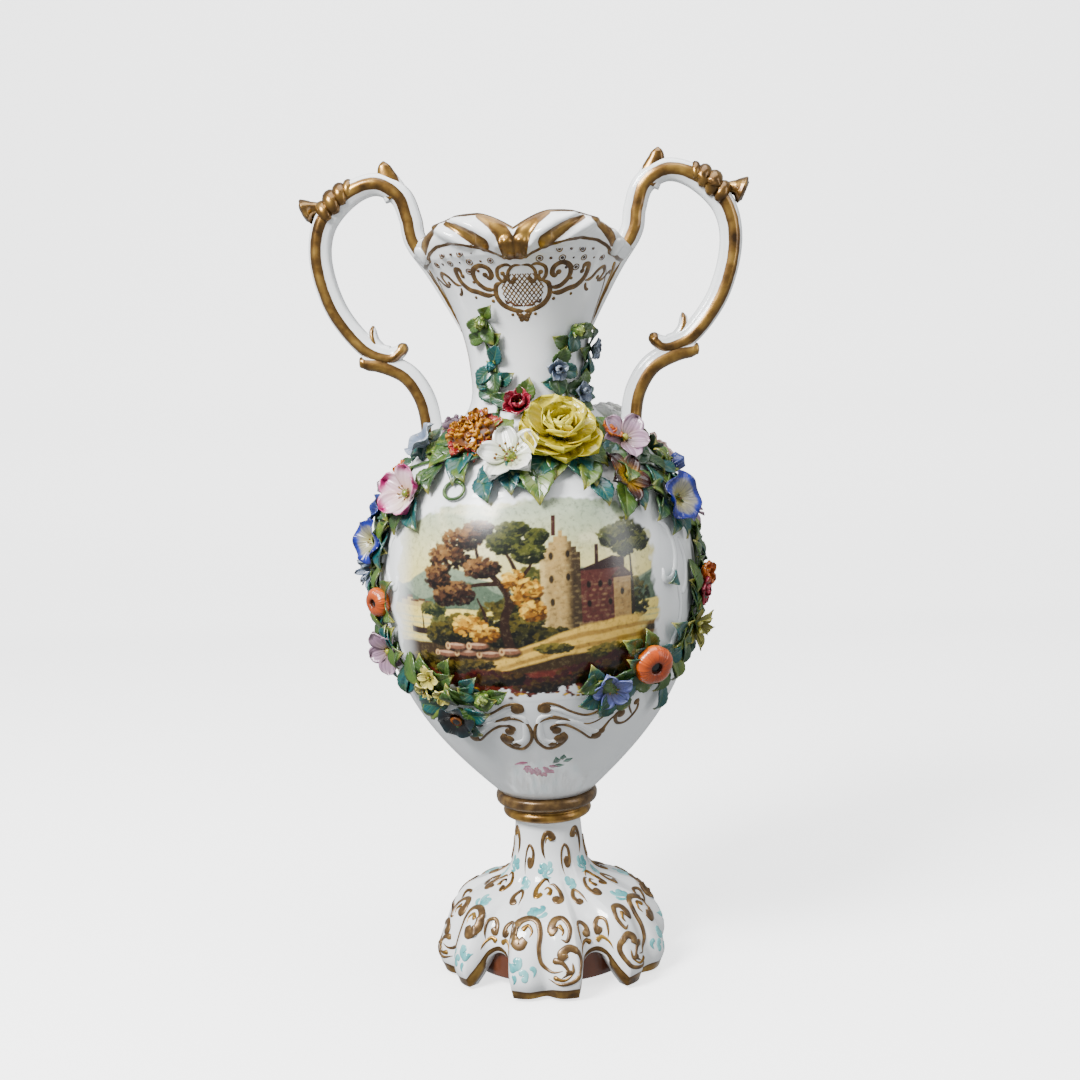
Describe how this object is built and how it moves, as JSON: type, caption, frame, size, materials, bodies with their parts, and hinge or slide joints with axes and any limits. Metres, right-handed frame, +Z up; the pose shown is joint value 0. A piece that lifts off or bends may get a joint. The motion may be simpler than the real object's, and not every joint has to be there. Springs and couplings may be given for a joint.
{
  "type": "baluster vase",
  "caption": "Porcelain baluster vase with scrolled gilt handles, applied modelled flowers, a painted landscape panel and a lobed pedestal foot.",
  "frame": {"origin": "centre of the foot on the ground", "axes": "+Z up the vase; the front, with its painted panel, faces -Y; the handles stand along X"},
  "size_m": [0.2016, 0.141, 0.3601],
  "materials": {
    "glazed_porcelain": "cool white glazed porcelain, high gloss",
    "gilded_porcelain": "antique burnished gilding over white porcelain",
    "yellow_petals": "painted yellow petals under a thin glaze",
    "amber_petals": "painted amber and crimson petals under a thin glaze",
    "white_petals": "white petals with a yellow-green heart",
    "crimson_petals": "painted crimson petals under a thin glaze",
    "orange_petals": "painted orange petals under a thin glaze",
    "lilac_petals": "painted lilac petals under a thin glaze",
    "blue_petals": "painted cobalt petals under a thin glaze",
    "navy_petals": "painted dark blue petals under a thin glaze",
    "pink_petals": "white petals edged with rose pink",
    "olive_petals": "painted olive-yellow petals under a thin glaze",
    "slate_petals": "painted slate-blue petals under a thin glaze",
    "green_leaves": "painted green leaves and buds under a thin glaze"
  },
  "bodies": {
    "root": {"vase_body": "glazed_porcelain", "pedestal_foot": "glazed_porcelain", "handle_left": "gilded_porcelain", "handle_right": "gilded_porcelain", "yellow_rose": "yellow_petals", "amber_marigold": "amber_petals", "white_anemone": "white_petals", "crimson_bloom": "crimson_petals", "amber_pansy": "amber_petals", "orange_brown_bloom": "orange_petals", "lilac_bell": "lilac_petals", "blue_convolvulus": "blue_petals", "navy_bud": "navy_petals", "lilac_star": "lilac_petals", "orange_bloom_right": "orange_petals", "crimson_bloom_right": "crimson_petals", "olive_bloom": "olive_petals", "orange_ranunculus": "orange_petals", "violet": "blue_petals", "wild_rose": "pink_petals", "slate_bell": "slate_petals", "small_orange_bloom": "orange_petals", "mauve_bud": "lilac_petals", "navy_bell": "navy_petals", "blue_white_convolvulus": "blue_petals", "grey_lilac_bloom": "lilac_petals", "orange_bloom_left": "orange_petals", "lilac_bloom_left": "lilac_petals", "primrose": "yellow_petals", "dark_auricula": "navy_petals", "green_bud": "green_leaves", "neck_bud_left": "green_leaves", "neck_teal_bud": "green_leaves", "neck_lilac_bloom": "lilac_petals", "neck_bud_right": "green_leaves", "neck_slate_bloom": "slate_petals", "neck_blue_bloom": "blue_petals", "back_white_camellia": "white_petals", "back_peach_bloom": "pink_petals", "back_blue_star": "blue_petals", "back_crimson_peony": "crimson_petals", "back_yellow_bloom": "yellow_petals", "back_lilac_camellia": "lilac_petals", "back_orange_bloom": "orange_petals", "back_violet": "blue_petals", "back_pink_bloom": "pink_petals", "back_navy_bloom": "navy_petals"}
  },
  "joints": []
}
